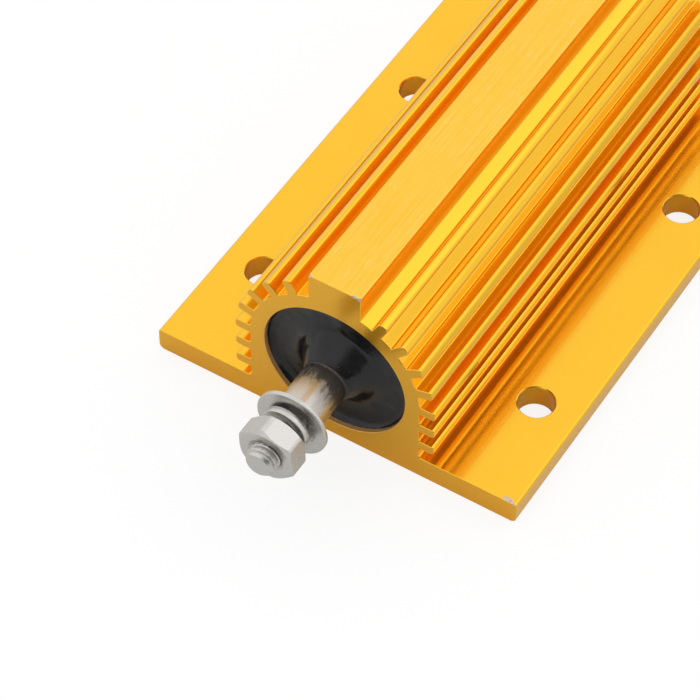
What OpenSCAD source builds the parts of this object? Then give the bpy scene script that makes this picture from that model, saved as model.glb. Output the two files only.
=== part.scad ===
// Aluminium housed wirewound power resistor with stud terminals.
// X runs across the base, Y along the housing and Z up from the mounting face.
// The origin is at the middle of the mounting face.

/* [Housing] */
// Length of the extruded housing
body_len = 68; // [60:1:90]
// Width of the base plate
base_w = 48; // [46:0.5:60]
// Thickness of the base plate
base_t = 3.2; // [2.5:0.1:4]
// Height of the bore axis above the mounting face
axis_h = 11.3; // [11:0.1:13]
// Diameter of the bore
bore_d = 18.5; // [17:0.1:19]
// Wall between the bore and the floors of the grooves
wall_t = 1.9; // [1.5:0.1:2.2]
// Height of the housing to the top of the marking rib
housing_h = 25.6; // [25.2:0.1:28]
// Width of the marking rib
rib_w = 6.7; // [5:0.1:7.4]

/* [Fins] */
// How far the fins stand out from the wall
fin_h = 2; // [1.2:0.1:2.6]
// Thickness of a fin
fin_t = 1.25; // [1:0.05:1.5]
// Radius on the corners of a fin's tip
fin_tip_r = 0.3; // [0.1:0.05:0.4]
// Radius in the root of a fin
fin_root_r = 0.2; // [0.1:0.05:0.3]
// Angle of the lowest radial fin above the horizontal
fin_first = 1; // [0:0.5:3]
// Angle from one radial fin to the next
fin_step = 15; // [14.5:0.5:15.5]
// Distance from one flank fin to the next
fin_pitch = 3; // [2.6:0.1:3.1]

/* [Mounting holes] */
// Diameter of the mounting holes
hole_d = 4.4; // [3.6:0.1:5]
// Hole spacing across the base
hole_across = 37; // [35:0.5:38]
// Hole spacing along the base
hole_along = 35; // [30:0.5:38]
// Distance of the first row of holes from the front end
hole_front = 14; // [10:0.5:18]

/* [Terminals] */
// Diameter of the post
post_d = 5.6; // [5:0.1:6]
// How far the post stands out of the housing
post_out = 8.4; // [6:0.1:12]
// Diameter of the threaded stud
stud_d = 3.8; // [3:0.1:4.2]
// How far the stud stands out past its nut
stud_past_nut = 1.55; // [0.8:0.05:5]
// Bevel on the end of the stud
stud_bevel = 0.4; // [0.1:0.1:0.6]
// Diameter of the rivet tenon behind the post
tenon_d = 3; // [2:0.1:3.4]
// Thickness of the rivet head inside the core
rivet_t = 0.7; // [0.4:0.1:1.2]

/* [Nut and washers] */
// Outer diameter of the flat washer
washer_d = 9; // [8.5:0.1:10]
// Thickness of the flat washer
washer_t = 0.5; // [0.3:0.1:1]
// Radial width of the spring washer's section
spring_b = 1.1; // [0.9:0.1:1.5]
// Thickness of the spring washer's section
spring_t = 0.9; // [0.7:0.1:1]
// Height of the spring washer from its low end to its high end
spring_h = 1.75; // [1.4:0.05:2.2]
// Angle of the split in the spring washer
spring_gap = 16; // [8:1:24]
// Width of the nut across its flats
nut_af = 6.8; // [6:0.1:7.5]
// Thickness of the nut
nut_t = 2.9; // [2:0.1:3.4]
// Gap that the slack nut leaves over the spring washer
nut_slack = 0.6; // [0:0.1:0.9]
// Clearance of the washers and the nut round the stud
stud_clear = 0.1; // [0.05:0.01:0.2]

/* [End seals] */
// Depth of the seal from the end of the housing
seal_depth = 5; // [4:0.5:6]
// How far the seal's flat face lies inside the housing
seal_dish = 1.4; // [1:0.1:2]
// How far the seal's edge lies inside the housing
seal_lip = 0.6; // [0.2:0.1:0.9]
// Radius of the seal's curve against the bore
seal_curve_r = 1.4; // [0.5:0.1:2]
// Diameter of the collar round the post at its foot
collar_d = 10.4; // [9:0.1:11]
// How far the collar climbs up the post outside the housing
collar_out = 1.7; // [0.8:0.1:2.5]

/* [Resistance element] */
// Diameter of the ceramic core
core_d = 12; // [11:0.1:12.4]
// Diameter of the hole through the core
core_bore_d = 5; // [4.4:0.1:6]
// Thickness of the cement between an end cap and its seal
cap_cover = 3.2; // [2:0.1:5]
// Wall of the end caps
cap_wall = 0.5; // [0.3:0.05:0.6]
// Thickness of the end caps' closed end
cap_t = 0.8; // [0.5:0.1:1.2]
// Length of the end caps' skirt on the core
cap_skirt = 4; // [3:0.1:5]
// Diameter of the resistance wire
wire_d = 0.5; // [0.3:0.05:0.6]
// Distance from one turn of wire to the next
wire_pitch = 1.9; // [1.6:0.05:2.4]
// Room between the winding and the filling round it
wire_room = 0.15; // [0.1:0.01:0.3]

/* [Hidden] */

$fn = 96;
merge = 0.5;                     // how deep joined shapes reach into each other

bore_r = bore_d / 2;
wall_r = bore_r + wall_t;
flank_fins = 2;                  // straight fins below the radial ones, each side
radial_fins = 5;                 // fins that point at the bore axis, each side
corner_steps = 5;                // flats in a rounded corner
base_low_r = 0.7;                // lower corners of the base plate
base_top_r = 0.4;                // upper corners of the base plate
base_root_r = 0.4;               // inner corner between the base and the flank
rib_edge_r = 0.15;               // edges along the marking rib

post_r = post_d / 2;
stud_r = stud_d / 2;
washer_face = post_out + washer_t;
spring_top = washer_face + spring_h;
nut_seat = spring_top + nut_slack;
stud_end = nut_seat + nut_t + stud_past_nut;
nut_bevel_angle = 30;            // slope of the nut's bevelled corners
nut_bevel_r = nut_af / 2 * 0.98; // where the bevel meets the nut's flat face
nut_corner_r = nut_af / sqrt(3);
nut_turn = 38;                   // how far the nut is turned on its stud
spring_turn = 3;                 // where the spring washer's high end lies
spring_steps = 60;               // flats round the spring washer

core_r = core_d / 2;
cap_r = core_r + cap_wall;
cap_depth = seal_depth + cap_cover;     // from the end of the housing to the cap's face
cap_face = body_len / 2 - cap_depth;
core_end = cap_face - cap_t;
core_len = 2 * core_end;
skirt_end = core_end - cap_skirt;
tenon_r = tenon_d / 2;
rivet_r = core_bore_d / 2 - 0.2;        // the rivet head drops into the core's hole

wire_r = wire_d / 2;
wire_sides = 6;
wire_steps = 20;                 // flats in one turn of wire
chord = 1 / cos(180 / wire_steps);      // keeps a many-sided turn clear of its core
lead_climb = 0.7;                // length in which the wire climbs on to a cap
lead_on_cap = 1.3;               // how far the wire's end lies past the skirt's edge
wire_end = skirt_end + lead_on_cap;
climb_start = skirt_end - lead_climb - wire_r;
wound_r = (core_r + wire_r) * chord;    // centre of the wire on the core
lead_r = (cap_r + wire_r) * chord;      // centre of the wire on a cap
turns = 2 * wire_end / wire_pitch;

gold = [0.93, 0.62, 0.12];
nickel = [0.78, 0.77, 0.75];
resin = [0.10, 0.10, 0.11];
steel = [0.62, 0.62, 0.64];
ceramic = [0.93, 0.92, 0.88];
alloy = [0.55, 0.50, 0.46];
cement = [0.72, 0.71, 0.67];

// Points of an arc about [x, y], from angle a to angle b.
function arc(x, y, r, a, b) =
    [for (i = [0:corner_steps]) let (t = a + (b - a) * i / corner_steps) [x + r * cos(t), y + r * sin(t)]];

// Holds for the shapes below: z = 0 is the end face of the housing and +z points out of it.
module at_front() {
    translate([0, -body_len / 2, axis_h]) rotate([90, 0, 0]) children();
}
module at_rear() {
    rotate([0, 0, 180]) at_front() children();
}

// Holds for the shapes below: z runs along the bore from the middle of the housing.
module on_axis() {
    translate([0, 0, axis_h]) rotate([90, 0, 0]) children();
}

// ---- Housing: one extrusion, sawn to length, drilled and anodised ----

// One fin pointing along +X, with rounded tip corners and filleted roots.
module fin_section() {
    half = fin_t / 2;
    foot = half + fin_root_r;
    root_x = sqrt(wall_r * wall_r - foot * foot);
    tip_x = wall_r + fin_h;
    polygon(concat(
        [[root_x - merge, -foot]],
        arc(root_x + fin_root_r, -foot, fin_root_r, 180, 90),
        arc(tip_x - fin_tip_r, fin_tip_r - half, fin_tip_r, -90, 0),
        arc(tip_x - fin_tip_r, half - fin_tip_r, fin_tip_r, 0, 90),
        arc(root_x + fin_root_r, foot, fin_root_r, 270, 180),
        [[root_x - merge, foot]]
    ));
}

// The base plate, with rounded long edges.
module base_section() {
    x = base_w / 2;
    polygon(concat(
        arc(base_low_r - x, base_low_r, base_low_r, 180, 270),
        arc(x - base_low_r, base_low_r, base_low_r, 270, 360),
        arc(x - base_top_r, base_t - base_top_r, base_top_r, 0, 90),
        arc(base_top_r - x, base_t - base_top_r, base_top_r, 90, 180)
    ));
}

// The straight-sided stem that joins the barrel to the base plate.
module stem_section() {
    foot = wall_r + base_root_r;
    polygon(concat(
        [[-foot, base_t - merge], [foot, base_t - merge]],
        arc(foot, base_t + base_root_r, base_root_r, 270, 180),
        [[wall_r, axis_h], [-wall_r, axis_h]],
        arc(-foot, base_t + base_root_r, base_root_r, 0, -90)
    ));
}

// The flat-topped rib that carries the marking.
module rib_section() {
    x = rib_w / 2;
    polygon(concat(
        [[-x, axis_h], [x, axis_h]],
        arc(x - rib_edge_r, housing_h - rib_edge_r, rib_edge_r, 0, 90),
        arc(rib_edge_r - x, housing_h - rib_edge_r, rib_edge_r, 90, 180)
    ));
}

module housing_section() {
    base_section();
    stem_section();
    rib_section();
    translate([0, axis_h]) circle(r = wall_r);
    for (side = [0, 1]) mirror([side, 0]) translate([0, axis_h]) {
        for (i = [0:radial_fins - 1]) rotate(fin_first + i * fin_step) fin_section();
        for (i = [1:flank_fins]) translate([0, wall_r * sin(fin_first) - i * fin_pitch]) fin_section();
    }
}

module housing() {
    color(gold) difference() {
        rotate([90, 0, 0]) linear_extrude(body_len, center = true) housing_section();
        on_axis() cylinder(r = bore_r, h = body_len + 2, center = true);
        for (x = [-1, 1], row = [0, 1])
            translate([x * hole_across / 2, hole_front - body_len / 2 + row * hole_along, -1])
                cylinder(d = hole_d, h = base_t + 2);
    }
}

// ---- End seals: poured resin, dished at the bore and drawn up round the post ----

module end_seal() {
    curve_x = bore_r - seal_curve_r;
    lip_angle = acos(max(0, 1 - (seal_dish - seal_lip) / seal_curve_r));
    color(resin) rotate_extrude() polygon(concat(
        [[post_r, -seal_depth], [bore_r, -seal_depth]],
        [for (i = [0:corner_steps]) let (t = lip_angle * (1 - i / corner_steps))
            [i == 0 ? bore_r : curve_x + (bore_r - curve_x) * sin(t) / sin(lip_angle),
             seal_curve_r * (1 - cos(t)) - seal_dish]],
        [[collar_d / 2, -seal_dish], [post_r + 0.3, collar_out - 0.2], [post_r, collar_out]]
    ));
}

// ---- Terminals: a turned post with a threaded stud in front and a riveted tenon behind ----

module terminal() {
    color(nickel) rotate_extrude() polygon([
        [0, -cap_depth - cap_t - rivet_t],
        [rivet_r, -cap_depth - cap_t - rivet_t],
        [rivet_r, -cap_depth - cap_t],
        [tenon_r, -cap_depth - cap_t],
        [tenon_r, -cap_depth],
        [post_r, -cap_depth],
        [post_r, post_out],
        [stud_r, post_out],
        [stud_r, stud_end - stud_bevel],
        [stud_r - stud_bevel, stud_end],
        [0, stud_end]
    ]);
}

// ---- Nut and washers on each stud ----

module flat_washer() {
    color(nickel) translate([0, 0, post_out]) difference() {
        cylinder(d = washer_d, h = washer_t);
        translate([0, 0, -1]) cylinder(r = stud_r + stud_clear, h = washer_t + 2);
    }
}

// Corners of the spring washer's section at step i. It sinks from its high end and lies flatter
// towards its low end, because the nut has pressed it a little.
function spring_ring(i) =
    let (
        inner = (stud_r + stud_clear) / cos(180 / spring_steps),
        outer = inner + spring_b,
        share = i / spring_steps,
        t = spring_turn + share * (360 - spring_gap),
        low = washer_face + (1 - share) * (1 - share) * (spring_h - spring_t)
    )
    [for (c = [[inner, low], [outer, low], [outer, low + spring_t], [inner, low + spring_t]])
        [c[0] * cos(t), c[0] * sin(t), c[1]]];

module spring_washer() {
    color(nickel) sweep([for (i = [0:spring_steps]) spring_ring(i)]);
}

// Skins a row of rings that have the same number of corners, and closes both ends.
module sweep(rings) {
    sides = len(rings[0]);
    last = len(rings) - 1;
    polyhedron(
        points = [for (ring = rings, corner = ring) corner],
        faces = concat(
            [[for (k = [0:sides - 1]) k]],
            [for (i = [0:last - 1], k = [0:sides - 1]) let (n = (k + 1) % sides)
                [i * sides + k, (i + 1) * sides + k, (i + 1) * sides + n]],
            [for (i = [0:last - 1], k = [0:sides - 1]) let (n = (k + 1) % sides)
                [i * sides + k, (i + 1) * sides + n, i * sides + n]],
            [[for (k = [sides - 1:-1:0]) last * sides + k]]
        )
    );
}

module hex_nut() {
    bevel = (nut_corner_r - nut_bevel_r) * tan(nut_bevel_angle);
    color(nickel) translate([0, 0, nut_seat]) rotate(nut_turn) difference() {
        intersection() {
            cylinder(r = nut_corner_r, h = nut_t, $fn = 6);
            rotate_extrude() polygon([
                [0, 0], [nut_bevel_r, 0], [nut_corner_r, bevel],
                [nut_corner_r, nut_t - bevel], [nut_bevel_r, nut_t], [0, nut_t]
            ]);
        }
        translate([0, 0, -1]) cylinder(r = stud_r + stud_clear, h = nut_t + 2);
    }
}

// ---- Resistance element: wire on a ceramic core, with a pressed cap on each end ----

module end_cap() {
    translate([0, 0, -cap_depth]) color(steel) rotate_extrude() polygon([
        [tenon_r, 0], [cap_r, 0], [cap_r, -cap_t - cap_skirt],
        [core_r, -cap_t - cap_skirt], [core_r, -cap_t], [tenon_r, -cap_t]
    ]);
}

module ceramic_core() {
    color(ceramic) on_axis() difference() {
        cylinder(r = core_r, h = core_len, center = true);
        cylinder(d = core_bore_d, h = core_len + 2, center = true);
    }
}

// Distance of the wire's centre from the axis at z: on the core, or climbed on to a cap.
function wire_centre(z) =
    let (s = min(1, max(0, (abs(z) - climb_start) / lead_climb)))
    wound_r + (lead_r - wound_r) * s * s * (3 - 2 * s);

function wire_ring(i, count) =
    let (z = wire_end * (2 * i / count - 1), t = 360 * turns * i / count, r = wire_centre(z))
    [for (k = [0:wire_sides - 1]) let (
            a = 360 * k / wire_sides,
            x = r + wire_r * cos(a)
        ) [x * cos(t), x * sin(t), z + wire_r * sin(a)]];

module resistance_winding() {
    count = round(turns * wire_steps);
    color(alloy) on_axis() sweep([for (i = [0:count]) wire_ring(i, count)]);
}

// ---- Filling: cement packed round the element, from seal to seal ----

module filling() {
    half = body_len / 2 - seal_depth;
    wound_room = wound_r + wire_r + wire_room;
    lead_room = lead_r + wire_r + wire_room;
    wide_end = climb_start - wire_d;
    color(cement) on_axis() rotate_extrude() polygon([
        [bore_r, -half], [bore_r, half], [post_r, half], [post_r, cap_face],
        [lead_room, cap_face], [lead_room, wide_end], [wound_room, wide_end],
        [wound_room, -wide_end], [lead_room, -wide_end], [lead_room, -cap_face],
        [post_r, -cap_face], [post_r, -half]
    ]);
}

housing();
at_front() end_seal();  // front_end_seal
at_rear() end_seal();  // rear_end_seal
at_front() terminal();  // front_terminal
at_rear() terminal();  // rear_terminal
at_front() flat_washer();  // front_flat_washer
at_rear() flat_washer();  // rear_flat_washer
at_front() spring_washer();  // front_spring_washer
at_rear() spring_washer();  // rear_spring_washer
at_front() hex_nut();  // front_hex_nut
at_rear() hex_nut();  // rear_hex_nut
at_front() end_cap();  // front_end_cap
at_rear() end_cap();  // rear_end_cap
ceramic_core();
resistance_winding();
filling();
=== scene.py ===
import math

import bmesh
import bpy
from mathutils import Matrix, Vector, noise


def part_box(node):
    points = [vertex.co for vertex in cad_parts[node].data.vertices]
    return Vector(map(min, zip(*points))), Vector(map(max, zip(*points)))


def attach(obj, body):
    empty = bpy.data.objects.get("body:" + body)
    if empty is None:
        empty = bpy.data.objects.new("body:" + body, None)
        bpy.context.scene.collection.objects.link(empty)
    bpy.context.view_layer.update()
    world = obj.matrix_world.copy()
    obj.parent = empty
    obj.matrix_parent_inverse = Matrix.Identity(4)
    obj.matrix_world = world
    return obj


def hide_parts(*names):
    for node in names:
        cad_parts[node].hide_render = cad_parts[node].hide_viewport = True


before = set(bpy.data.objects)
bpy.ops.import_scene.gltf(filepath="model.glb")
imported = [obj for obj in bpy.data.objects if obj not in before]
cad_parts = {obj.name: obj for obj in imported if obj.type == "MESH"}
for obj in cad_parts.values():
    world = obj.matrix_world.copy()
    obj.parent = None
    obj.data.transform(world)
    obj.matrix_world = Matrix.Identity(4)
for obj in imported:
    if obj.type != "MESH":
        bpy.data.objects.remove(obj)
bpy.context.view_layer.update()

# ------------------------------------------------------------------------------------------
# Housing. One aluminium extrusion carries the barrel, the fins, the marking rib and the base.
# It is sawn to length, deburred, drilled through both flanges and then anodised gold. The
# corners that stick out have lost a little of the gold to knocks.

MM = 0.001
merge_distance = 1e-6

housing_low, housing_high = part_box("housing")
seal_low, seal_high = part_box("front_end_seal")
end_face = -housing_low.y
axis_height = (seal_low.z + seal_high.z) / 2
bore_radius = seal_high.x
base_half = housing_high.x
base_top = 3.2 * MM
barrel_wall = 1.9 * MM
wall_radius = bore_radius + barrel_wall
rib_half = 3.35 * MM
fin_height = 2.0 * MM
fin_thickness = 1.25 * MM
fin_tip_radius = 0.42 * MM
fin_root_radius = 0.2 * MM
first_fin_angle = 1
fin_angle_step = 15
fin_angles = [math.radians(first_fin_angle + fin_angle_step * i) for i in range(5)]
flank_fin_pitch = 3.0 * MM
flank_fin_heights = [wall_radius * math.sin(fin_angles[0]) - flank_fin_pitch * i for i in (2, 1)]
base_low_radius = 0.7 * MM
base_top_radius = 0.4 * MM
base_root_radius = 0.4 * MM
rib_edge_radius = 0.15 * MM
saw_edge = 0.06 * MM
hole_spacing = (37 * MM, 35 * MM)
hole_front = 14 * MM
hole_radius = 2.2 * MM
hole_edge = 0.12 * MM


def arc(x, z, radius, first, last, steps=6):
    """Points of an arc about (x, z), between two angles in radians."""
    turn = (last - first) / steps
    return [(x + radius * math.cos(first + turn * i), z + radius * math.sin(first + turn * i))
            for i in range(steps + 1)]


def fin_outline(angle, root, height=0.0):
    """One fin's outline from its lower root to its upper root, turned by an angle about the axis."""
    half = fin_thickness / 2
    foot = half + fin_root_radius
    tip = wall_radius + fin_height
    quarter = math.pi / 2
    points = (
        arc(root + fin_root_radius, -foot, fin_root_radius, 2 * quarter, quarter)
        + arc(tip - fin_tip_radius, fin_tip_radius - half, fin_tip_radius, -quarter, 0)
        + arc(tip - fin_tip_radius, half - fin_tip_radius, fin_tip_radius, 0, quarter)
        + arc(root + fin_root_radius, foot, fin_root_radius, 3 * quarter, 2 * quarter)
    )
    turned = Matrix.Rotation(angle, 2)
    return [tuple(turned @ Vector(p) + Vector((0, axis_height + height))) for p in points]


def housing_outline():
    """The extrusion's outline: its right half from the base up to the rib, then the mirrored left half."""
    quarter = math.pi / 2
    foot = fin_thickness / 2 + fin_root_radius
    root = math.sqrt(wall_radius ** 2 - foot ** 2)
    root_angle = math.asin(foot / wall_radius)
    right = arc(base_half - base_low_radius, base_low_radius, base_low_radius, -quarter, 0)
    right += arc(base_half - base_top_radius, base_top - base_top_radius, base_top_radius, 0, quarter)
    right += arc(wall_radius + base_root_radius, base_top + base_root_radius, base_root_radius,
                 3 * quarter, 2 * quarter)
    for height in flank_fin_heights:
        right += fin_outline(0, wall_radius, height)
    for angle, after in zip(fin_angles, fin_angles[1:] + [None]):
        right += fin_outline(angle, root)
        last = math.acos(rib_half / wall_radius) if after is None else after - root_angle
        between = arc(0, axis_height, wall_radius, angle + root_angle, last)
        right += between[1:] if after is None else between[1:-1]
    right += arc(rib_half - rib_edge_radius, housing_high.z - rib_edge_radius, rib_edge_radius,
                 0, quarter)
    return right + [(-x, z) for x, z in reversed(right)]


def inward_steps(points):
    """For each point of a closed outline, the way that moves both its edges inwards by one unit."""
    steps = []
    for i, p in enumerate(points):
        before = (Vector(p) - Vector(points[i - 1])).normalized()
        after = (Vector(points[(i + 1) % len(points)]) - Vector(p)).normalized()
        left = Vector((-before.y - after.y, before.x + after.x))
        steps.append(left / (1 + before.dot(after)))
    return steps


def outline_object(name, outlines):
    """Closed outlines as one mesh of edges in the XY plane, with their inward steps as an attribute."""
    mesh = bpy.data.meshes.new(name)
    points = [p for outline in outlines for p in outline]
    edges = []
    for outline in outlines:
        first = len(edges)
        edges += [(first + i, first + (i + 1) % len(outline)) for i in range(len(outline))]
    mesh.from_pydata([(x, y, 0) for x, y in points], edges, [])
    inward = mesh.attributes.new("inward", "FLOAT_VECTOR", "POINT")
    steps = [step for outline in outlines for step in inward_steps(outline)]
    inward.data.foreach_set("vector", [v for step in steps for v in (step.x, step.y, 0)])
    return bpy.data.objects.new(name, mesh)


def add(tree, kind, inputs=None, **settings):
    """Adds a node. inputs maps its sockets, by name or number, to a value or to another node's socket."""
    node = tree.nodes.new(kind)
    for key, value in settings.items():
        setattr(node, key, value)
    for key, value in (inputs or {}).items():
        socket = node.inputs[key]
        if isinstance(value, bpy.types.NodeSocket):
            tree.links.new(value, socket)
        else:
            socket.default_value = value
    return node


def maths(tree, operation, a, b=0.0):
    """A Math node's result."""
    return add(tree, "ShaderNodeMath", {0: a, 1: b}, operation=operation).outputs[0]


def remap(tree, value, low, high, to_low=0.0, to_high=1.0, smooth=False):
    """A value moved from one range to another, and held inside it."""
    return add(tree, "ShaderNodeMapRange",
               {"Value": value, "From Min": low, "From Max": high, "To Min": to_low, "To Max": to_high},
               interpolation_type="SMOOTHSTEP" if smooth else "LINEAR").outputs[0]


def new_tree(name, kind, inputs, outputs):
    """A node group with named inputs and outputs, each given as (name, socket type)."""
    tree = bpy.data.node_groups.new(name, kind)
    for socket_name, socket_type in inputs:
        tree.interface.new_socket(socket_name, in_out="INPUT", socket_type=socket_type)
    for socket_name, socket_type in outputs:
        tree.interface.new_socket(socket_name, in_out="OUTPUT", socket_type=socket_type)
    return tree, tree.nodes.new("NodeGroupInput").outputs, tree.nodes.new("NodeGroupOutput").inputs


def grown(name, source, tree, **values):
    """The plain mesh object that a geometry tree makes from a source object."""
    bpy.context.scene.collection.objects.link(source)
    modifier = source.modifiers.new("Grow", "NODES")
    modifier.node_group = tree
    for item in tree.interface.items_tree:
        if item.in_out == "INPUT" and item.name in values:
            modifier[item.identifier] = values[item.name]
    missing = set(values) - {item.name for item in tree.interface.items_tree}
    assert not missing, f"{tree.name} has no input {missing}"
    bpy.context.view_layer.update()
    evaluated = source.evaluated_get(bpy.context.evaluated_depsgraph_get())
    mesh = bpy.data.meshes.new_from_object(evaluated)
    bpy.data.objects.remove(source)
    mesh.name = name
    mesh.materials.clear()
    mesh.materials.append(values["Finish"])
    mesh.polygons.foreach_set("material_index", [0] * len(mesh.polygons))
    piece = bpy.data.objects.new(name, mesh)
    bpy.context.scene.collection.objects.link(piece)
    return piece


def extrusion_tree():
    """Extrudes an outline with deburred saw cuts, drills a rectangle of holes and cuts out the chips."""
    tree, given, result = new_tree(
        "Sawn and drilled extrusion", "GeometryNodeTree",
        [("Outline", "NodeSocketGeometry"), ("Length", "NodeSocketFloat"),
         ("Saw Edge", "NodeSocketFloat"), ("Spacing Across", "NodeSocketFloat"),
         ("Spacing Along", "NodeSocketFloat"), ("First Row", "NodeSocketFloat"),
         ("Drill", "NodeSocketObject"), ("Chips", "NodeSocketObject"),
         ("Finish", "NodeSocketMaterial")],
        [("Geometry", "NodeSocketGeometry")])

    def along(z):
        return add(tree, "ShaderNodeCombineXYZ", {"Z": z}).outputs[0]

    def times(vector, factor):
        return add(tree, "ShaderNodeVectorMath", {0: vector, "Scale": factor},
                   operation="SCALE").outputs[0]

    half = maths(tree, "MULTIPLY", given["Length"], 0.5)
    inward = add(tree, "GeometryNodeInputNamedAttribute", {"Name": "inward"},
                 data_type="FLOAT_VECTOR").outputs["Attribute"]
    inset = times(inward, given["Saw Edge"])
    inset_outline = add(tree, "GeometryNodeSetPosition",
                        {"Geometry": given["Outline"], "Offset": inset}).outputs[0]

    near = along(maths(tree, "MULTIPLY", half, -1.0))
    skin = add(tree, "GeometryNodeTransform",
               {"Geometry": inset_outline, "Translation": near}).outputs[0]
    top = None
    straight = maths(tree, "SUBTRACT", given["Length"], maths(tree, "MULTIPLY", given["Saw Edge"], 2.0))
    for height, step in ((given["Saw Edge"], -1.0), (straight, 0.0), (given["Saw Edge"], 1.0)):
        extruded = add(tree, "GeometryNodeExtrudeMesh", {"Mesh": skin, "Offset": along(height)},
                       mode="EDGES")
        extruded.inputs["Offset Scale"].default_value = 1.0
        if top is not None:
            tree.links.new(top, extruded.inputs["Selection"])
        top = extruded.outputs["Top"]
        skin = add(tree, "GeometryNodeSetPosition",
                   {"Geometry": extruded.outputs["Mesh"], "Selection": top,
                    "Offset": times(inset, step)}).outputs[0]

    end = add(tree, "GeometryNodeFillCurve",
              {"Curve": add(tree, "GeometryNodeMeshToCurve", {"Mesh": inset_outline}).outputs[0]},
              mode="TRIANGLES").outputs[0]
    far_end = add(tree, "GeometryNodeTransform", {"Geometry": end, "Translation": along(half)}).outputs[0]
    near_end = add(tree, "GeometryNodeTransform", {"Geometry": end, "Translation": near}).outputs[0]
    near_end = add(tree, "GeometryNodeFlipFaces", {"Mesh": near_end}).outputs[0]
    join = add(tree, "GeometryNodeJoinGeometry")
    side = add(tree, "GeometryNodeFlipFaces", {"Mesh": skin}).outputs[0]
    for part in (side, far_end, near_end):
        tree.links.new(part, join.inputs[0])
    bar = add(tree, "GeometryNodeMergeByDistance",
              {"Geometry": join.outputs[0], "Distance": merge_distance}).outputs[0]
    bar = add(tree, "GeometryNodeTransform",
              {"Geometry": bar, "Rotation": (math.pi / 2, 0, 0)}).outputs[0]

    corners = add(tree, "GeometryNodeMeshGrid",
                  {"Size X": given["Spacing Across"], "Size Y": given["Spacing Along"],
                   "Vertices X": 2, "Vertices Y": 2}).outputs[0]
    middle_row = maths(tree, "ADD", given["First Row"], maths(tree, "MULTIPLY", given["Spacing Along"], 0.5))
    shift = add(tree, "ShaderNodeCombineXYZ", {"Y": maths(tree, "SUBTRACT", middle_row, half)}).outputs[0]
    corners = add(tree, "GeometryNodeTransform", {"Geometry": corners, "Translation": shift}).outputs[0]
    drill = add(tree, "GeometryNodeObjectInfo", {"Object": given["Drill"]}).outputs["Geometry"]
    drills = add(tree, "GeometryNodeInstanceOnPoints", {"Points": corners, "Instance": drill}).outputs[0]
    cutters = [add(tree, "GeometryNodeRealizeInstances", {"Geometry": drills}).outputs[0],
               add(tree, "GeometryNodeObjectInfo", {"Object": given["Chips"]}).outputs["Geometry"]]
    for cutter in cutters:
        bar = add(tree, "GeometryNodeMeshBoolean", {"Mesh 1": bar, "Mesh 2": cutter},
                  operation="DIFFERENCE", solver="EXACT").outputs[0]

    whole = add(tree, "GeometryNodeRealizeInstances", {"Geometry": bar}).outputs[0]
    tree.links.new(add(tree, "GeometryNodeSetMaterial",
                       {"Geometry": whole, "Material": given["Finish"]}).outputs[0], result[0])
    return tree


# Where the gold has been knocked off: the middle of each chip and its size along each side.
rib_corner = Vector((rib_half, -end_face, housing_high.z))
base_corner = Vector((base_half, -end_face, base_top))
chips = [
    (Vector((-rib_corner.x, rib_corner.y, rib_corner.z)), Vector((0.30, 0.26, 0.26)) * MM),
    (rib_corner, Vector((0.34, 0.22, 0.28)) * MM),
    (rib_corner - Vector((0.75, 0, 0)) * MM, Vector((0.42, 0.14, 0.13)) * MM),
    (base_corner - Vector((0.30, 0, 0)) * MM, Vector((0.34, 0.10, 0.12)) * MM),
    (base_corner - Vector((1.25, -0.30, 0)) * MM, Vector((0.50, 0.26, 0.05)) * MM),
]


def chip_cutters():
    """Small lumps that break the housing's corners."""
    bm = bmesh.new()
    for i, (place, size) in enumerate(chips):
        for v in bmesh.ops.create_icosphere(bm, subdivisions=3, radius=1)["verts"]:
            v.co *= 1 + 0.5 * noise.noise(v.co * 1.9 + Vector((7 * i, 0, 0)))
            v.co = place + v.co * size
    mesh = bpy.data.meshes.new("chips")
    bm.to_mesh(mesh)
    bm.free()
    return bpy.data.objects.new("chips", mesh)


def thread_cut(tree, share, height, pitch, depth):
    """How deep a right-hand thread cuts at a share of a turn and a height: flat crests, round roots."""
    turns = maths(tree, "SUBTRACT", maths(tree, "DIVIDE", height, pitch), share)
    flank = maths(tree, "ABSOLUTE", maths(tree, "SUBTRACT", maths(tree, "FRACT", turns), 0.5))
    return maths(tree, "MULTIPLY", remap(tree, flank, 0.44, 0.06, smooth=True), depth)


def spun_rows(tree, profile, steps):
    """A grid with a row for each point of a profile: its share of the turn, and that point."""
    rows = add(tree, "GeometryNodeAttributeDomainSize", {0: profile}).outputs["Point Count"]
    grid = add(tree, "GeometryNodeMeshGrid",
               {"Size X": 1.0, "Size Y": 1.0, "Vertices X": maths(tree, "ADD", steps, 1),
                "Vertices Y": rows}).outputs[0]
    place = add(tree, "ShaderNodeSeparateXYZ",
                {0: add(tree, "GeometryNodeInputPosition").outputs[0]}).outputs
    share = maths(tree, "ADD", place["X"], 0.5)
    row = maths(tree, "ROUND", maths(tree, "MULTIPLY", maths(tree, "ADD", place["Y"], 0.5),
                                     maths(tree, "SUBTRACT", rows, 1)))
    point = add(tree, "GeometryNodeSampleIndex",
                {"Geometry": profile, "Value": add(tree, "GeometryNodeInputPosition").outputs[0],
                 "Index": row}, data_type="FLOAT_VECTOR").outputs[0]
    return grid, share, add(tree, "ShaderNodeSeparateXYZ", {0: point}).outputs


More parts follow.
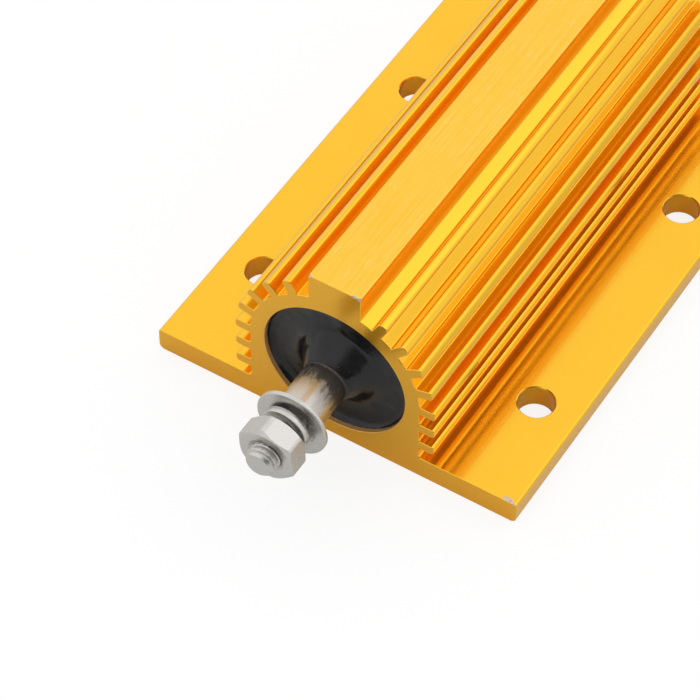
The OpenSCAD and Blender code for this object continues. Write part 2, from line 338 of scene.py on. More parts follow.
def set_polar(tree, grid, angle, radius, height, finish, result):
    """Moves each grid point to its angle, radius and height, closes the seam and sets the material."""
    x = maths(tree, "MULTIPLY", radius, maths(tree, "COSINE", angle))
    y = maths(tree, "MULTIPLY", radius, maths(tree, "SINE", angle))
    place = add(tree, "ShaderNodeCombineXYZ", {"X": x, "Y": y, "Z": height}).outputs[0]
    moved = add(tree, "GeometryNodeSetPosition", {"Geometry": grid, "Position": place}).outputs[0]
    closed = add(tree, "GeometryNodeMergeByDistance",
                 {"Geometry": moved, "Distance": merge_distance}).outputs[0]
    whole = add(tree, "GeometryNodeRealizeInstances", {"Geometry": closed}).outputs[0]
    tree.links.new(add(tree, "GeometryNodeSetMaterial",
                       {"Geometry": whole, "Material": finish}).outputs[0], result)


def turning_tree():
    """Turns a profile of (radius, 0, height) points about Z, and cuts a thread between two heights."""
    tree, given, result = new_tree(
        "Turned piece", "GeometryNodeTree",
        [("Profile", "NodeSocketGeometry"), ("Steps", "NodeSocketInt"),
         ("Thread Radius", "NodeSocketFloat"), ("Thread Pitch", "NodeSocketFloat"),
         ("Thread Depth", "NodeSocketFloat"), ("Thread Start", "NodeSocketFloat"),
         ("Finish", "NodeSocketMaterial")],
        [("Geometry", "NodeSocketGeometry")])
    grid, share, point = spun_rows(tree, given["Profile"], given["Steps"])
    depth = maths(tree, "MULTIPLY", given["Thread Depth"], remap(
        tree, maths(tree, "SUBTRACT", point["Z"], given["Thread Start"]), 0.0, given["Thread Pitch"]))
    cut = thread_cut(tree, share, point["Z"], given["Thread Pitch"], depth)
    threaded = maths(tree, "MINIMUM", point["X"], maths(tree, "SUBTRACT", given["Thread Radius"], cut))
    in_thread = maths(tree, "GREATER_THAN", point["Z"], given["Thread Start"])
    radius = maths(tree, "ADD", point["X"], maths(
        tree, "MULTIPLY", in_thread, maths(tree, "SUBTRACT", threaded, point["X"])))
    angle = maths(tree, "MULTIPLY", share, 2 * math.pi)
    set_polar(tree, grid, angle, radius, point["Z"], given["Finish"], result[0])
    return tree


def turned(name, profile, finish, steps=96, **thread):
    """A closed turned piece about Z. Its profile runs up the outside, and starts and ends on the axis
    or comes back to its first point."""
    line = bpy.data.meshes.new(name)
    line.from_pydata([(radius, 0, height) for radius, height in profile], [], [])
    values = {"Steps": steps, "Thread Radius": 1.0, "Thread Pitch": 1.0, "Thread Start": 1.0,
              "Finish": finish}
    values.update(thread)
    return grown(name, bpy.data.objects.new(name, line), turning_tree(), **values)


def smooth_to(piece, degrees):
    """Smooth shading that keeps flats flat, with a crease at every edge that turns more than this."""
    piece.data.polygons.foreach_set("use_smooth", [True] * len(piece.data.polygons))
    piece.data.set_sharp_from_angle(angle=math.radians(degrees))
    weighted = piece.modifiers.new("Flat faces stay flat", "WEIGHTED_NORMAL")
    weighted.keep_sharp = True
    weighted.weight = 100


def new_material(name):
    """A node material: its tree, its main shader's inputs, and the place on the object in millimetres."""
    material = bpy.data.materials.new(name)
    material.use_nodes = True
    tree = material.node_tree
    shader = tree.nodes["Principled BSDF"]
    place = add(tree, "ShaderNodeTexCoord").outputs["Object"]
    return material, tree, shader.inputs, stretched(tree, place, 1000, 1000, 1000)


def stretched(tree, place, x, y, z):
    """A place with each of its sides multiplied."""
    return add(tree, "ShaderNodeVectorMath", {0: place, 1: (x, y, z)}, operation="MULTIPLY").outputs[0]


def blended(tree, share, first, second):
    """Goes from one colour to another."""
    return add(tree, "ShaderNodeMix", {0: share, 6: first, 7: second}, data_type="RGBA").outputs[2]


def cloudy(tree, place, scale, detail=2.0, rough=0.5):
    """Soft noise from 0 to 1."""
    return add(tree, "ShaderNodeTexNoise",
               {"Vector": place, "Scale": scale, "Detail": detail, "Roughness": rough}).outputs[0]


def drawn_grain_group():
    """Fine lines left by a die or a brush, along Y: a soft mask all over, and a mask of broken scratches."""
    tree, given, result = new_tree(
        "Drawn grain", "ShaderNodeTree",
        [("Place", "NodeSocketVector"), ("Lines", "NodeSocketFloat"), ("Length", "NodeSocketFloat")],
        [("Lines", "NodeSocketFloat"), ("Scratches", "NodeSocketFloat")])
    along = maths(tree, "DIVIDE", 1.0, given["Length"])
    scale = add(tree, "ShaderNodeCombineXYZ",
                {"X": given["Lines"], "Y": along, "Z": given["Lines"]}).outputs[0]
    place = add(tree, "ShaderNodeVectorMath", {0: given["Place"], 1: scale},
                operation="MULTIPLY").outputs[0]
    lines = cloudy(tree, place, 1.0, detail=3.0, rough=0.6)
    tree.links.new(remap(tree, lines, 0.3, 0.7), result["Lines"])
    scratches = cloudy(tree, stretched(tree, place, 1.9, 3.0, 1.9), 1.0, detail=1.0)
    tree.links.new(remap(tree, scratches, 0.6, 0.72, smooth=True), result["Scratches"])
    return tree


def edge_wear_and_glint_group():
    """A mask of the outer edges, broken up by noise. It marks worn edges and painted glints of light along
    them.
    """
    tree, given, result = new_tree(
        "Rubbed edges", "ShaderNodeTree",
        [("Place", "NodeSocketVector"), ("Width", "NodeSocketFloat"), ("Patches", "NodeSocketFloat")],
        [("Edges", "NodeSocketFloat")])
    rounded = add(tree, "ShaderNodeBevel", {"Radius": given["Width"]}, samples=6).outputs[0]
    flat = add(tree, "ShaderNodeNewGeometry").outputs["Normal"]
    same = add(tree, "ShaderNodeVectorMath", {0: rounded, 1: flat}, operation="DOT_PRODUCT").outputs["Value"]
    turn = remap(tree, same, 0.97, 0.82)
    patches = remap(tree, cloudy(tree, given["Place"], given["Patches"]), 0.35, 0.65)
    tree.links.new(maths(tree, "MULTIPLY", turn, patches), result["Edges"])
    return tree


drawn_grain = drawn_grain_group()
edge_wear_and_glint = edge_wear_and_glint_group()


def gold_finish():
    """Gold anodised aluminium: satin and drawn, plain where sawn, tan in the bore, silver in the chips, and
    paler on its edges from wear and a painted glint.
    """
    material, tree, surface, place = new_material("gold anodised aluminium")
    facing = add(tree, "ShaderNodeSeparateXYZ", {
        0: add(tree, "ShaderNodeTexCoord").outputs["Normal"]}).outputs
    sawn = remap(tree, maths(tree, "ABSOLUTE", facing["Y"]), 0.8, 0.95)
    height = add(tree, "ShaderNodeSeparateXYZ", {0: place}).outputs["Z"]
    on_rib = remap(tree, height, housing_high.z / MM - 0.1, housing_high.z / MM - 0.05)

    grain = add(tree, "ShaderNodeGroup", node_tree=drawn_grain)
    brushed = add(tree, "ShaderNodeGroup", node_tree=drawn_grain)
    edges = add(tree, "ShaderNodeGroup", node_tree=edge_wear_and_glint)
    for group, lines, length in ((grain, 7.0, 14.0), (brushed, 4.5, 7.0)):
        tree.links.new(place, group.inputs["Place"])
        group.inputs["Lines"].default_value = lines
        group.inputs["Length"].default_value = length
    tree.links.new(place, edges.inputs["Place"])
    edges.inputs["Width"].default_value = 0.12 * MM
    edges.inputs["Patches"].default_value = 0.8

    colour = blended(tree, cloudy(tree, place, 0.09), (0.96, 0.515, 0.012, 1), (0.99, 0.555, 0.020, 1))
    fine = maths(tree, "MULTIPLY", grain.outputs["Lines"], remap(tree, on_rib, 0.0, 1.0, 0.10, 0.62))
    colour = blended(tree, fine, colour, (1.0, 0.64, 0.12, 1))
    dashes = maths(tree, "MULTIPLY", brushed.outputs["Scratches"], on_rib)
    colour = blended(tree, maths(tree, "MULTIPLY", dashes, 0.35), colour, (1.0, 0.74, 0.24, 1))
    # Pale outer edges: partly worn anodising, partly a painted glint of light along them.
    colour = blended(tree, maths(tree, "MULTIPLY", edges.outputs["Edges"], 0.35), colour,
                     (1.0, 0.72, 0.22, 1))
    colour = blended(tree, maths(tree, "MULTIPLY", sawn, 0.7), colour, (0.95, 0.46, 0.010, 1))
    middle = add(tree, "ShaderNodeVectorMath", {0: place, 1: (0, 0, axis_height / MM)}, operation="SUBTRACT")
    radius = add(tree, "ShaderNodeVectorMath", {0: stretched(tree, middle.outputs[0], 1, 0, 1)},
                 operation="LENGTH").outputs["Value"]
    bored = remap(tree, radius, bore_radius / MM + 0.08, bore_radius / MM + 0.03)
    colour = blended(tree, maths(tree, "MULTIPLY", bored, 0.8), colour, (0.80, 0.42, 0.17, 1))
    bare = None
    for corner, size in chips:
        off = add(tree, "ShaderNodeVectorMath", {0: place, 1: corner / MM}, operation="SUBTRACT").outputs[0]
        off = add(tree, "ShaderNodeVectorMath", {0: off, 1: size / MM}, operation="DIVIDE").outputs[0]
        away = add(tree, "ShaderNodeVectorMath", {0: off}, operation="LENGTH").outputs["Value"]
        away = maths(tree, "ADD", away, maths(tree, "MULTIPLY", cloudy(tree, place, 5.0), 0.9))
        near = remap(tree, away, 1.85, 1.55)
        bare = near if bare is None else maths(tree, "MAXIMUM", bare, near)
    colour = blended(tree, maths(tree, "MULTIPLY", bare, 0.85), colour, (0.62, 0.56, 0.55, 1))
    tree.links.new(colour, surface["Base Color"])

    satin = maths(tree, "ADD", 0.10, maths(tree, "MULTIPLY", grain.outputs["Lines"], 0.05))
    satin = maths(tree, "ADD", satin, maths(tree, "MULTIPLY", sawn, 0.08))
    satin = maths(tree, "ADD", satin, maths(tree, "MULTIPLY", bare, 0.15))
    satin = maths(tree, "ADD", satin, maths(tree, "MULTIPLY", bored, 0.35))
    tree.links.new(satin, surface["Roughness"])
    tree.links.new(remap(tree, bored, 0.0, 1.0, 0.84, 0.35), surface["Metallic"])
    surface["Coat Weight"].default_value = 0.3
    surface["Coat Roughness"].default_value = 0.12

    relief = maths(tree, "ADD", maths(tree, "MULTIPLY", grain.outputs["Lines"], 0.35), dashes)
    relief = maths(tree, "ADD", relief, maths(tree, "MULTIPLY", cloudy(tree, place, 14.0), 0.25))
    bump = add(tree, "ShaderNodeBump", {"Strength": 0.35, "Distance": 0.012 * MM, "Height": relief})
    tree.links.new(bump.outputs[0], surface["Normal"])
    return material


gold = gold_finish()
bore_outline = arc(0, axis_height, bore_radius, 2 * math.pi, 0, 160)[:-1]
chip_object = chip_cutters()
bpy.context.scene.collection.objects.link(chip_object)
past = 1 * MM
drill_object = turned("drill", [
    (0, -past), (hole_radius + hole_edge + past, -past), (hole_radius, hole_edge),
    (hole_radius, base_top - hole_edge), (hole_radius + hole_edge + past, base_top + past),
    (0, base_top + past)], gold)
housing = grown("finned_housing", outline_object("outline", [housing_outline(), bore_outline]),
                extrusion_tree(), **{
                    "Length": 2 * end_face, "Saw Edge": saw_edge, "Spacing Across": hole_spacing[0],
                    "Spacing Along": hole_spacing[1], "First Row": hole_front, "Drill": drill_object,
                    "Chips": chip_object, "Finish": gold})
for cutter in (chip_object, drill_object):
    bpy.data.objects.remove(cutter)
smooth_to(housing, 25)
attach(housing, "root")
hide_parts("housing")

# ------------------------------------------------------------------------------------------
# Ceramic core. A fired alumina tube that the resistance wire is wound on. Its surface is
# matt and faintly pitted.

core_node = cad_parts["ceramic_core"]


def ceramic_finish():
    """Off-white fired ceramic with fine pits."""
    material, tree, surface, place = new_material("fired ceramic")
    cloud = cloudy(tree, place, 0.35, detail=4.0)
    tree.links.new(blended(tree, cloud, (0.74, 0.72, 0.66, 1), (0.86, 0.85, 0.81, 1)),
                   surface["Base Color"])
    pits = add(tree, "ShaderNodeTexVoronoi", {"Vector": place, "Scale": 2.6}).outputs["Distance"]
    pits = remap(tree, pits, 0.05, 0.25)
    tree.links.new(remap(tree, pits, 0.0, 1.0, 0.85, 0.55), surface["Roughness"])
    bump = add(tree, "ShaderNodeBump", {"Strength": 0.4, "Distance": 0.03 * MM, "Height": pits})
    tree.links.new(bump.outputs[0], surface["Normal"])
    return material


core_node.material_slots[0].material = ceramic_finish()


# ------------------------------------------------------------------------------------------
# End caps. Steel cups, deep drawn and pressed on both ends of the core. The draw leaves fine
# lines along the skirt.

def cap_finish():
    """Drawn steel with a dull shine."""
    material, tree, surface, place = new_material("drawn cap steel")
    grain = add(tree, "ShaderNodeGroup", node_tree=drawn_grain)
    tree.links.new(place, grain.inputs["Place"])
    grain.inputs["Lines"].default_value = 5.0
    grain.inputs["Length"].default_value = 3.0
    tree.links.new(blended(tree, grain.outputs["Lines"], (0.42, 0.42, 0.43, 1), (0.56, 0.56, 0.57, 1)),
                   surface["Base Color"])
    tree.links.new(remap(tree, grain.outputs["Scratches"], 0.0, 1.0, 0.34, 0.5), surface["Roughness"])
    surface["Metallic"].default_value = 1.0
    return material


cap_steel = cap_finish()
for side in ("front", "rear"):
    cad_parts[side + "_end_cap"].material_slots[0].material = cap_steel


# ------------------------------------------------------------------------------------------
# Resistance winding. One length of nickel-chromium wire, wound hot on the core and welded to
# both caps. Heat has turned its skin brown in places.

def alloy_finish():
    """Resistance alloy with a patchy brown oxide."""
    material, tree, surface, place = new_material("oxidised resistance alloy")
    oxide = remap(tree, cloudy(tree, place, 0.5, detail=4.0), 0.35, 0.65)
    tree.links.new(blended(tree, oxide, (0.42, 0.40, 0.37, 1), (0.20, 0.14, 0.09, 1)),
                   surface["Base Color"])
    tree.links.new(remap(tree, oxide, 0.0, 1.0, 0.3, 0.6), surface["Roughness"])
    surface["Metallic"].default_value = 1.0
    return material


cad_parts["resistance_winding"].material_slots[0].material = alloy_finish()


# ------------------------------------------------------------------------------------------
# Terminals. Each is turned from one steel rod, nickel plated: a rivet head and tenon that hold
# the end cap, a post that leads out through the seal, and a rolled M4 stud.

cap_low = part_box("front_end_cap")[0]
washer_low, washer_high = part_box("front_flat_washer")
terminal_low, terminal_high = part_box("front_terminal")
nut_low, nut_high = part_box("front_hex_nut")
out_of_end = -end_face
post_radius = terminal_high.x
post_out = out_of_end - washer_high.y
stud_radius = 1.9 * MM
stud_end = out_of_end - terminal_low.y
stud_bevel = 0.4 * MM
rivet_end = out_of_end - terminal_high.y
cap_outside = out_of_end - cap_low.y
cap_sheet = 0.8 * MM
cap_inside = cap_outside - cap_sheet
rivet_radius = 2.3 * MM
rivet_edge = 0.2 * MM
tenon_radius = 1.5 * MM
thread_pitch = 0.7 * MM
thread_depth = 0.40 * MM


def at_end(piece, name, side):
    """A copy of a piece at one end, made about Z, with Z now running out of that end of the bore."""
    copy = bpy.data.objects.new(side + "_" + name, piece.data.copy())
    bpy.context.scene.collection.objects.link(copy)
    place = Matrix.Translation((0, out_of_end, axis_height)) @ Matrix.Rotation(math.pi / 2, 4, "X")
    if side == "rear":
        place = Matrix.Rotation(math.pi, 4, "Z") @ place
    copy.data.transform(place)
    copy.data.name = copy.name
    return copy


def fit_both_ends(piece, name, solid, crease):
    """Fits a piece at the front and at the rear, each in place of its plain solid."""
    for side in ("front", "rear"):
        copy = at_end(piece, name, side)
        smooth_to(copy, crease)
        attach(copy, "root")
        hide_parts(side + "_" + solid)
    bpy.data.objects.remove(piece)


def plated_finish(name, lines, length, smeared):
    """Nickel plate, warm grey, with turning or drawing marks and painted highlights along its edges. A
    smeared post is dark near the resin.
    """
    material, tree, surface, place = new_material(name)
    grain = add(tree, "ShaderNodeGroup", node_tree=drawn_grain)
    edges = add(tree, "ShaderNodeGroup", node_tree=edge_wear_and_glint)
    tree.links.new(place, grain.inputs["Place"])
    tree.links.new(place, edges.inputs["Place"])
    grain.inputs["Lines"].default_value = lines
    grain.inputs["Length"].default_value = length
    edges.inputs["Width"].default_value = 0.14 * MM
    edges.inputs["Patches"].default_value = 1.5
    colour = blended(tree, grain.outputs["Lines"], (0.60, 0.585, 0.555, 1), (0.70, 0.685, 0.655, 1))
    colour = blended(tree, maths(tree, "MULTIPLY", cloudy(tree, place, 0.8), 0.12), colour,
                     (0.46, 0.42, 0.36, 1))
    # Painted highlights: the outer edges are painted a pale bright grey.
    colour = blended(tree, maths(tree, "MULTIPLY", edges.outputs["Edges"], 0.8), colour,
                     (0.90, 0.88, 0.85, 1))
    rough = remap(tree, grain.outputs["Lines"], 0.0, 1.0, 0.24, 0.36)
    if smeared:
        side = add(tree, "ShaderNodeSeparateXYZ", {0: place}).outputs
        out = maths(tree, "SUBTRACT", maths(tree, "ABSOLUTE", side["Y"]), end_face / MM)
        streaks = cloudy(tree, stretched(tree, place, 1.6, 0.7, 1.6), 1.0, detail=6.0, rough=0.72)
        reach = maths(tree, "ADD", out, maths(tree, "MULTIPLY", streaks, -7.5))
        reach = maths(tree, "SUBTRACT", reach, maths(tree, "MULTIPLY", side["X"], 0.35))
        smear = remap(tree, reach, 0.9, -0.9, smooth=True)
        smear = maths(tree, "MULTIPLY", smear, remap(tree, out, 1.75, 2.1))
        colour = blended(tree, maths(tree, "MULTIPLY", smear, 0.85), colour, (0.05, 0.045, 0.04, 1))
        rough = maths(tree, "ADD", rough, maths(tree, "MULTIPLY", smear, 0.12))
    tree.links.new(colour, surface["Base Color"])
    tree.links.new(rough, surface["Roughness"])
    surface["Metallic"].default_value = 1.0
    relief = maths(tree, "ADD", grain.outputs["Lines"], grain.outputs["Scratches"])
    bump = add(tree, "ShaderNodeBump", {"Strength": 0.35, "Distance": 0.01 * MM, "Height": relief})
    tree.links.new(bump.outputs[0], surface["Normal"])
    return material


thread_rows = 150
stud_line = [(stud_radius, post_out + (stud_end - stud_bevel - post_out) * i / thread_rows)
             for i in range(thread_rows + 1)]
stud_line += [(stud_radius - stud_bevel * i / 6, stud_end - stud_bevel + stud_bevel * i / 6)
              for i in range(1, 7)]
post_edge = 0.12 * MM
terminal = turned("terminal", [
    (0, rivet_end), (rivet_radius - rivet_edge, rivet_end), (rivet_radius, rivet_end + rivet_edge),
    (rivet_radius, cap_inside), (tenon_radius, cap_inside), (tenon_radius, cap_outside),
    (post_radius - post_edge, cap_outside), (post_radius, cap_outside + post_edge),
    (post_radius, post_out - post_edge), (post_radius - post_edge, post_out)
] + stud_line + [(0, stud_end)], plated_finish("nickel plated terminal", 7.0, 2.5, True),
    **{"Thread Radius": stud_radius, "Thread Pitch": thread_pitch, "Thread Depth": thread_depth,
       "Thread Start": post_out})
fit_both_ends(terminal, "threaded_terminal", "terminal", 35)


# ------------------------------------------------------------------------------------------
# Filling. Cement packed round the element and into the core, which carries its heat to the
# housing. It is dry, pale and grainy.

def cement_finish():
    """Pale cement with dark and light grains."""
    material, tree, surface, place = new_material("filling cement")
    grains = add(tree, "ShaderNodeTexVoronoi", {"Vector": place, "Scale": 3.0}).outputs["Color"]
    grains = add(tree, "ShaderNodeSeparateColor", {0: grains}).outputs[0]
    tree.links.new(blended(tree, grains, (0.44, 0.43, 0.40, 1), (0.62, 0.61, 0.57, 1)),
                   surface["Base Color"])
    tree.links.new(remap(tree, grains, 0.0, 1.0, 0.8, 0.95), surface["Roughness"])
    bump = add(tree, "ShaderNodeBump", {"Strength": 0.6, "Distance": 0.05 * MM,
                                        "Height": cloudy(tree, place, 2.0, detail=4.0)})
    tree.links.new(bump.outputs[0], surface["Normal"])
    return material


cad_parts["filling"].material_slots[0].material = cement_finish()


# ------------------------------------------------------------------------------------------
# End seals. Black resin poured into each end of the bore. It has set with a glossy dished face,
# crept a little up the bore, and been drawn up round the post in a bell-shaped collar.

seal_inside = out_of_end - seal_high.y
collar_top = out_of_end - seal_low.y
collar_foot_radius = 5.2 * MM
dish = -1.4 * MM
lip = -0.6 * MM


def resin_finish():
    """Glossy black resin with faint waves, dust and a few small wrinkles."""
    material, tree, surface, place = new_material("black seal resin")
    veil = remap(tree, cloudy(tree, place, 0.45, detail=3.0), 0.4, 0.7)
    colour = blended(tree, veil, (0.006, 0.006, 0.0065, 1), (0.014, 0.0145, 0.015, 1))
    dust = add(tree, "ShaderNodeTexVoronoi", {"Vector": place, "Scale": 1.6}).outputs["Distance"]
    dust = remap(tree, dust, 0.055, 0.035)
    dust = maths(tree, "MULTIPLY", dust, remap(tree, cloudy(tree, place, 0.9), 0.52, 0.6))
    colour = blended(tree, dust, colour, (0.35, 0.34, 0.32, 1))
    tree.links.new(colour, surface["Base Color"])
    rough = remap(tree, cloudy(tree, place, 0.6, detail=3.0), 0.3, 0.7, 0.10, 0.24)
    tree.links.new(maths(tree, "ADD", rough, maths(tree, "MULTIPLY", dust, 0.5)), surface["Roughness"])
    surface["IOR"].default_value = 1.43
    waves = maths(tree, "ADD", cloudy(tree, place, 0.35, detail=1.0),
                  maths(tree, "MULTIPLY", cloudy(tree, place, 2.2), 0.12))
    bump = add(tree, "ShaderNodeBump", {"Strength": 0.5, "Distance": 0.35 * MM, "Height": waves})
    tree.links.new(bump.outputs[0], surface["Normal"])
    return material


def smooth_curve(points, steps):
    """More points on a smooth curve through some points, which is a Catmull-Rom spline."""
    ends = [points[0]] + points + [points[-1]]
    line = []
    for a, b, c, d in zip(ends, ends[1:], ends[2:], ends[3:]):
        for i in range(steps):
            t = i / steps
            line.append(tuple(
                0.5 * (2 * b[k] + (c[k] - a[k]) * t + (2 * a[k] - 5 * b[k] + 4 * c[k] - d[k]) * t * t
                       + (3 * b[k] - a[k] - 3 * c[k] + d[k]) * t ** 3) for k in (0, 1)))
    return line + [points[-1]]


face_line = smooth_curve([
    (bore_radius, lip), (bore_radius - 0.25 * MM, lip - 0.42 * MM),
    (bore_radius - 0.8 * MM, dish + 0.1 * MM),
    (bore_radius - 1.7 * MM, dish), (collar_foot_radius + 1.6 * MM, dish),
    (collar_foot_radius + 0.7 * MM, dish + 0.09 * MM), (collar_foot_radius, dish + 0.36 * MM),
    (collar_foot_radius - 0.5 * MM, dish + 0.8 * MM), (4.22 * MM, -0.05 * MM), (3.74 * MM, 0.65 * MM),
    (3.25 * MM, 1.3 * MM), (2.98 * MM, collar_top - 0.08 * MM), (post_radius, collar_top)], 6)
profile = [(bore_radius, seal_inside)] + face_line + [(post_radius, seal_inside),
                                                      (bore_radius, seal_inside)]
end_seal = turned("end_seal", profile, resin_finish())
fit_both_ends(end_seal, "poured_seal", "end_seal", 40)


# ------------------------------------------------------------------------------------------
# Flat washers. Stamped from nickel plated steel strip. The stamp rounds the edge of the face
# that looks out, and leaves the other edge sharp.

washer_radius = washer_high.x
washer_hole = 2.0 * MM
washer_back = post_out
washer_face = out_of_end - washer_low.y
stamped = 0.16 * MM
washer_back_edge = 0.03 * MM
washer_hole_edge = 0.05 * MM
fastener_plate = plated_finish("nickel plated fasteners", 8.0, 0.8, False)
profile = [(washer_hole, washer_face - washer_hole_edge), (washer_hole, washer_back),
           (washer_radius - washer_back_edge, washer_back),
           (washer_radius, washer_back + washer_back_edge)]
profile += arc(washer_radius - stamped, washer_face - stamped, stamped, 0, math.pi / 2, 4)
profile += [(washer_hole + washer_hole_edge, washer_face), (washer_hole, washer_face - washer_hole_edge)]
flat_washer = turned("flat_washer", profile, fastener_plate)
fit_both_ends(flat_washer, "stamped_washer", "flat_washer", 35)


# ------------------------------------------------------------------------------------------
# Spring washers. Each is one turn of nickel plated spring wire with a flattened section. Its
# high end stands off the flat washer, short of the slack nut.

spring_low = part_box("front_spring_washer")[0]
spring_top = out_of_end - spring_low.y
spring_width = 1.1 * MM
spring_thick = 0.9 * MM
spring_rise = spring_top - washer_face - spring_thick
spring_start = math.radians(14)
spring_sweep = math.radians(344)
spring_corner = 0.14 * MM
spring_steps = 74


def spring_tree():
    """Sweeps a section round Z. It sinks from its high end to its low end, and is flatter there."""
    tree, given, result = new_tree(
        "Spring washer", "GeometryNodeTree",
        [("Section", "NodeSocketGeometry"), ("Steps", "NodeSocketInt"), ("Start", "NodeSocketFloat"),
         ("Sweep", "NodeSocketFloat"), ("Rise", "NodeSocketFloat"), ("Finish", "NodeSocketMaterial")],
        [("Geometry", "NodeSocketGeometry")])
    grid, share, point = spun_rows(tree, given["Section"], given["Steps"])
    last = maths(tree, "DIVIDE", 0.5, given["Steps"])
    ends = maths(tree, "ADD", maths(tree, "LESS_THAN", share, last),
                 maths(tree, "GREATER_THAN", share, maths(tree, "SUBTRACT", 1.0, last)))
    middle = Vector((washer_hole + spring_width / 2, 0, washer_face + spring_thick / 2))
    inside = maths(tree, "MULTIPLY", share, maths(tree, "ADD", 1.0, maths(tree, "MULTIPLY", last, 4.0)))
    inside = maths(tree, "SUBTRACT", inside, maths(tree, "MULTIPLY", last, 2.0))
    inside = maths(tree, "MINIMUM", maths(tree, "MAXIMUM", inside, 0.0), 1.0)
    left = maths(tree, "SUBTRACT", 1.0, inside)
    lift = maths(tree, "MULTIPLY", maths(tree, "MULTIPLY", left, left), given["Rise"])
    angle = maths(tree, "ADD", maths(tree, "MULTIPLY", inside, given["Sweep"]), given["Start"])

    def closed(value, centre):
        gap = maths(tree, "SUBTRACT", centre, value)
        return maths(tree, "ADD", value, maths(tree, "MULTIPLY", gap, ends))

    radius = closed(point["X"], middle.x)
    height = maths(tree, "ADD", closed(point["Z"], middle.z), lift)
    set_polar(tree, grid, angle, radius, height, given["Finish"], result[0])
    return tree


section = []
for across, up, first in ((1, 0, -1), (1, 1, 0), (0, 1, 1), (0, 0, 2)):
    centre_x = washer_hole + (spring_width - spring_corner if across else spring_corner)
    centre_z = washer_face + (spring_thick - spring_corner if up else spring_corner)
    section += arc(centre_x, centre_z, spring_corner, first * math.pi / 2, (first + 1) * math.pi / 2, 3)
section.append(section[0])
line = bpy.data.meshes.new("section")
line.from_pydata([(x, 0, z) for x, z in section], [], [])
spring_washer = grown("spring_washer", bpy.data.objects.new("section", line), spring_tree(), **{
    "Steps": spring_steps, "Start": spring_start, "Sweep": spring_sweep, "Rise": spring_rise,
    "Finish": fastener_plate})
fit_both_ends(spring_washer, "split_washer", "spring_washer", 35)


# ------------------------------------------------------------------------------------------
# Hex nuts. Nickel plated M4 nuts, bevelled on both faces and countersunk at the thread. They
# are run on by hand and left slack over the spring washers.

nut_seat = out_of_end - nut_high.y
nut_top = out_of_end - nut_low.y
nut_flats = 6.8 * MM
nut_bevel_radius = 0.95 * nut_flats / 2
nut_corner_radius = 0.968 * nut_flats / math.sqrt(3)
nut_countersink = 2.35 * MM
nut_bevel_angle = math.radians(30)
nut_turn = math.radians(38)
nut_steps = 144
thread_room = 0.08 * MM


def nut_tree():
    """Rows from the bore to the flats. Outer rows lie on a hexagon, and its corners are bevelled."""
    tree, given, result = new_tree(
        "Hex nut", "GeometryNodeTree",
        [("Rows", "NodeSocketGeometry"), ("Steps", "NodeSocketInt"), ("Across Flats", "NodeSocketFloat"),
         ("Corner Radius", "NodeSocketFloat"), ("Bevel Radius", "NodeSocketFloat"),
         ("Bevel Slope", "NodeSocketFloat"), ("Turn", "NodeSocketFloat"),
         ("Bottom", "NodeSocketFloat"), ("Top", "NodeSocketFloat"),
         ("Thread Radius", "NodeSocketFloat"), ("Thread Pitch", "NodeSocketFloat"),
         ("Thread Depth", "NodeSocketFloat"), ("Finish", "NodeSocketMaterial")],
        [("Geometry", "NodeSocketGeometry")])
    grid, share, point = spun_rows(tree, given["Rows"], given["Steps"])
    sixth = maths(tree, "SUBTRACT", maths(tree, "FRACT", maths(tree, "MULTIPLY", share, 6.0)), 0.5)
    off_middle = maths(tree, "MULTIPLY", sixth, math.pi / 3)
    hexagon = maths(tree, "DIVIDE", maths(tree, "MULTIPLY", given["Across Flats"], 0.5),
                    maths(tree, "COSINE", off_middle))
    hexagon = maths(tree, "MINIMUM", hexagon, given["Corner Radius"])
    outer = maths(tree, "GREATER_THAN", point["X"], given["Bevel Radius"])
    radius = maths(tree, "ADD", point["X"], maths(
        tree, "MULTIPLY", outer, maths(tree, "SUBTRACT", hexagon, point["X"])))
    drop = maths(tree, "MULTIPLY", maths(tree, "MAXIMUM", 0.0, maths(
        tree, "SUBTRACT", radius, given["Bevel Radius"])), given["Bevel Slope"])
    height = maths(tree, "MINIMUM", point["Z"], maths(tree, "SUBTRACT", given["Top"], drop))
    height = maths(tree, "MAXIMUM", height, maths(tree, "ADD", given["Bottom"], drop))

    angle = maths(tree, "ADD", maths(tree, "MULTIPLY", share, 2 * math.pi), given["Turn"])
    turn_share = maths(tree, "DIVIDE", angle, 2 * math.pi)
    cut = thread_cut(tree, turn_share, height, given["Thread Pitch"], given["Thread Depth"])
    tapped = maths(tree, "SUBTRACT", given["Thread Radius"], cut)
    in_bore = maths(tree, "LESS_THAN", point["X"], given["Thread Radius"])
    countersunk = maths(tree, "MAXIMUM", radius, tapped)
    radius = maths(tree, "ADD", countersunk, maths(
        tree, "MULTIPLY", in_bore, maths(tree, "SUBTRACT", tapped, countersunk)))
    set_polar(tree, grid, angle, radius, height, given["Finish"], result[0])
    return tree


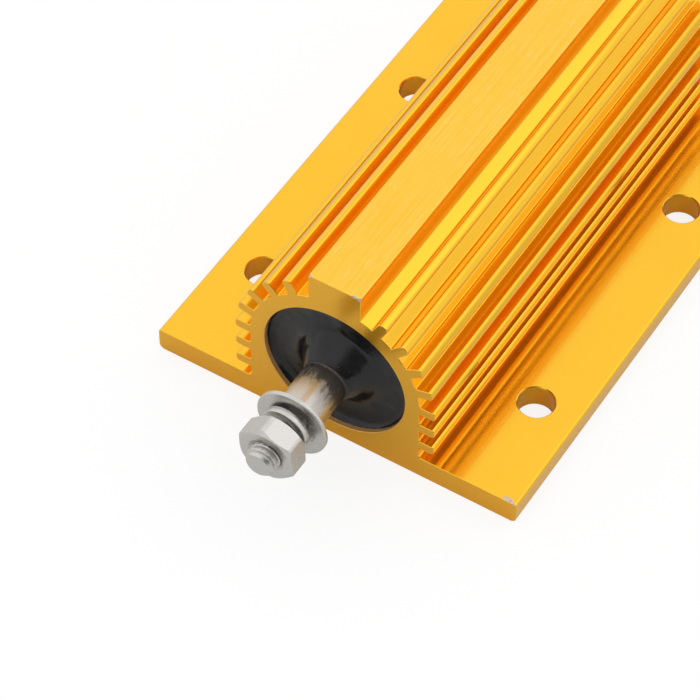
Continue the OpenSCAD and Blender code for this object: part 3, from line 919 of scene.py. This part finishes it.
tapped_radius = stud_radius + thread_room
sink = nut_countersink - tapped_radius
bore_rows = 70
bore_low = nut_seat + sink
bore_high = nut_top - sink
rows = [(nut_countersink, nut_top)]
rows += [(tapped_radius - merge_distance, bore_high + (bore_low - bore_high) * i / bore_rows)
         for i in range(bore_rows + 1)]
rows += [(nut_countersink, nut_seat), (nut_bevel_radius, nut_seat)]
rows += [(nut_flats, nut_seat), (nut_flats, nut_top)]
rows += [(nut_bevel_radius, nut_top), (nut_countersink, nut_top)]
line = bpy.data.meshes.new("rows")
line.from_pydata([(x, 0, z) for x, z in rows], [], [])
hex_nut = grown("hex_nut", bpy.data.objects.new("rows", line), nut_tree(), **{
    "Steps": nut_steps, "Across Flats": nut_flats, "Corner Radius": nut_corner_radius,
    "Bevel Radius": nut_bevel_radius, "Bevel Slope": math.tan(nut_bevel_angle), "Turn": nut_turn,
    "Bottom": nut_seat, "Top": nut_top,
    "Thread Radius": tapped_radius, "Thread Pitch": thread_pitch, "Thread Depth": thread_depth,
    "Finish": fastener_plate})
fit_both_ends(hex_nut, "tapped_nut", "hex_nut", 25)


# ------------------------------------------------------------------------------------------
# The floor, the light and the camera. A plain pale floor, a white room with one dark side that
# only shiny surfaces see, and two soft lamps. The camera looks down on the front end.

def floor_finish():
    """A plain white floor that keeps the shadow and shows as white."""
    material = bpy.data.materials.new("white floor")
    material.use_nodes = True
    tree = material.node_tree
    tree.nodes.clear()
    card = add(tree, "ShaderNodeBsdfDiffuse", {"Color": (0.88, 0.88, 0.88, 1)}).outputs[0]
    glow = add(tree, "ShaderNodeEmission", {"Color": (1, 1, 1, 1), "Strength": 1.1}).outputs[0]
    seen = add(tree, "ShaderNodeLightPath").outputs["Is Camera Ray"]
    share = maths(tree, "MULTIPLY", seen, 0.75)
    mixed = add(tree, "ShaderNodeMixShader", {0: share, 1: card, 2: glow}).outputs[0]
    add(tree, "ShaderNodeOutputMaterial", {"Surface": mixed})
    return material


floor_mesh = bpy.data.meshes.new("floor")
floor_mesh.from_pydata([(-4, -4, 0), (4, -4, 0), (4, 4, 0), (-4, 4, 0)], [], [(0, 1, 2, 3)])
floor = bpy.data.objects.new("floor", floor_mesh)
bpy.context.scene.collection.objects.link(floor)
floor_mesh.materials.append(floor_finish())

world = bpy.data.worlds.new("white room")
bpy.context.scene.world = world
world.use_nodes = True
sky = world.node_tree
sky.nodes.clear()
path = add(sky, "ShaderNodeLightPath").outputs
mirrored = maths(sky, "MAXIMUM", path["Is Camera Ray"], maths(
    sky, "MAXIMUM", path["Is Glossy Ray"], path["Is Transmission Ray"]))
dark_side = Vector((0.74, -0.60, 0.30)).normalized()
toward = add(sky, "ShaderNodeTexCoord").outputs["Generated"]
toward = add(sky, "ShaderNodeVectorMath", {0: toward, 1: dark_side},
             operation="DOT_PRODUCT").outputs["Value"]
walls = remap(sky, toward, 0.96, 0.62, 0.12, 1.0, smooth=True)
room = maths(sky, "MAXIMUM", path["Is Camera Ray"], walls)
level = add(sky, "ShaderNodeMix", {0: mirrored, 2: 0.8, 3: room}).outputs[0]
backdrop = add(sky, "ShaderNodeBackground", {"Color": (1, 1, 1, 1), "Strength": level}).outputs[0]
add(sky, "ShaderNodeOutputWorld", {"Surface": backdrop})

lamp_aim = Vector((0, -0.02, 0.015))


def softbox(name, toward, distance, width, height, strength):
    """A soft lamp that shines on the front end from a direction."""
    lamp = bpy.data.lights.new(name, "AREA")
    lamp.shape = "RECTANGLE"
    lamp.size = width
    lamp.size_y = height
    lamp.energy = strength * width * height
    holder = bpy.data.objects.new(name, lamp)
    bpy.context.scene.collection.objects.link(holder)
    toward = Vector(toward).normalized()
    holder.location = lamp_aim + toward * distance
    holder.rotation_euler = toward.to_track_quat("Z", "Y").to_euler()


softbox("softbox behind right", (0.36, 0.535, 0.766), 0.9, 0.45, 0.35, 1.35)
softbox("softbox behind left", (-0.40, 0.50, 0.776), 1.1, 0.6, 0.6, 0.25)

right = Vector((0.84903, 0.52831, 0.00651))
down = Vector((0.41181, -0.65399, -0.63460))
forward = Vector((-0.33101, 0.54147, -0.77281))
camera_data = bpy.data.cameras.new("camera")
camera_data.lens = 166.8
camera_data.sensor_width = 36.0
camera_data.clip_start = 0.01
camera = bpy.data.objects.new("camera", camera_data)
bpy.context.scene.collection.objects.link(camera)
turn = Matrix((right, -down, -forward)).transposed().to_4x4()
camera.matrix_world = Matrix.Translation((0.1204755, -0.1936691 - end_face, 0.2927446)) @ turn
bpy.context.scene.camera = camera

bpy.context.scene.view_settings.view_transform = "Standard"
